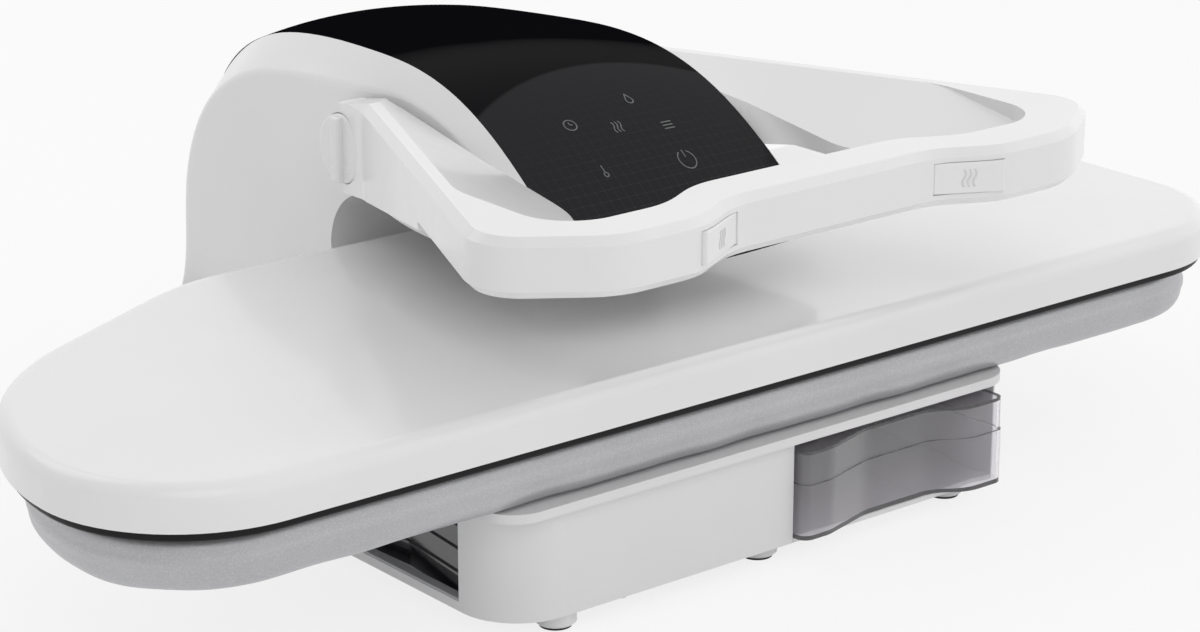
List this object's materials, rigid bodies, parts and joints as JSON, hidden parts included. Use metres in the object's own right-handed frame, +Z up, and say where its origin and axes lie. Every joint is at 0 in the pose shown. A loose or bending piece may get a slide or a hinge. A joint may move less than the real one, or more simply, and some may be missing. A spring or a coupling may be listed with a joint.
{
  "type": "tabletop steam press",
  "caption": "Tabletop steam ironing press: padded board on a low base, long heated plate on a hinged head, horseshoe handle with steam buttons, water tank and touch panel.",
  "frame": {"origin": "centre of the whole press in plan, at the bottom of the feet", "axes": "+X along the plates towards their square right end, +Y towards the rear hinge, +Z up"},
  "size_m": [0.9, 0.6295, 0.2938],
  "materials": {
    "white_shell": "smooth gloss",
    "base_white": "satin moulded",
    "knob_white": "smooth gloss",
    "button_white": "satin moulded",
    "panel_black": "high gloss",
    "side_black": "gloss moulded",
    "sill_grey": "satin",
    "board_cloth": "metallised weave",
    "board_foam": "open cell foam",
    "clear_tank": "clear moulded",
    "plate_dark": "dark coated casting",
    "bare_aluminium": "cast",
    "steel": "zinc plated",
    "black_plastic": "moulded",
    "grey_plastic": "moulded",
    "rubber_black": "matt",
    "hose_clear": "silicone",
    "circuit": "laminate"
  },
  "bodies": {
    "root": {"base_housing": "base_white", "base_floor": "base_white", "floor_screws": "steel", "board_tray": "base_white", "left_side_panel": "side_black", "side_sill": "sill_grey", "feet": "base_white", "foot_pads": "rubber_black", "board_plate": "steel", "board_pad": "board_foam", "board_cover": "board_cloth", "tank_dock": "grey_plastic", "water_pump": "black_plastic", "inlet_hose": "hose_clear", "feed_hose": "hose_clear", "power_board": "circuit", "cord_gland": "rubber_black", "hinge_brackets": "steel", "hinge_shaft": "steel", "lift_springs": "steel"},
    "head": {"head_shell": "white_shell", "touch_panel": "panel_black", "head_underside": "white_shell", "head_frame": "steel", "handle_pivot": "steel", "control_board": "circuit", "plate_cover": "white_shell", "heating_plate": "plate_dark", "steam_chamber_lid": "bare_aluminium", "thermostat": "black_plastic", "heating_element": "steel", "plate_standoffs": "steel", "plate_carrier": "steel", "flange_bolts": "steel", "plate_post": "steel", "post_bolt": "steel", "post_shroud": "white_shell", "hinge_bushes": "black_plastic"},
    "handle": {"handle_body": "white_shell", "handle_cover": "white_shell", "left_button_switch": "black_plastic", "right_button_switch": "black_plastic"},
    "left_button": {"left_steam_button": "button_white"},
    "right_button": {"right_steam_button": "button_white"},
    "left_knob": {"left_lock_knob": "knob_white"},
    "right_knob": {"right_lock_knob": "knob_white"},
    "water_tank": {"tank_body": "clear_tank", "tank_top": "clear_tank", "tank_spigot": "grey_plastic"},
    "filler_cap": {"tank_cap": "grey_plastic"}
  },
  "joints": [
    {"name": "head_open", "type": "hinge", "parent": "root", "child": "head", "pos_m": [0.015, 0.247, 0.054], "axis": [-1, 0, 0], "range_deg": [0, 40]},
    {"name": "handle_lift", "type": "hinge", "parent": "head", "child": "handle", "pos_m": [0.015, 0.048, 0.232], "axis": [-1, 0, 0], "range_deg": [0, 30]},
    {"name": "left_button_press", "type": "slide", "parent": "handle", "child": "left_button", "axis": [-0.4657, 0.8849, 0], "range_m": [0, 0.0012], "stiffness_N_per_m": 900},
    {"name": "right_button_press", "type": "slide", "parent": "handle", "child": "right_button", "axis": [0.4657, 0.8849, 0], "range_m": [0, 0.0012], "stiffness_N_per_m": 900},
    {"name": "left_knob_turn", "type": "hinge", "parent": "handle", "child": "left_knob", "pos_m": [0.015, 0.048, 0.232], "axis": [1, 0, 0], "range_deg": [0, 90]},
    {"name": "right_knob_turn", "type": "hinge", "parent": "handle", "child": "right_knob", "pos_m": [0.015, 0.048, 0.232], "axis": [1, 0, 0], "range_deg": [0, 90]},
    {"name": "tank_slide", "type": "slide", "parent": "root", "child": "water_tank", "axis": [0, -1, 0], "range_m": [0, 0.17]},
    {"name": "cap_turn", "type": "hinge", "parent": "water_tank", "child": "filler_cap", "pos_m": [0.12225, -0.158, 0.075], "axis": [0, 0, 1], "range_deg": [0, 90]}
  ]
}
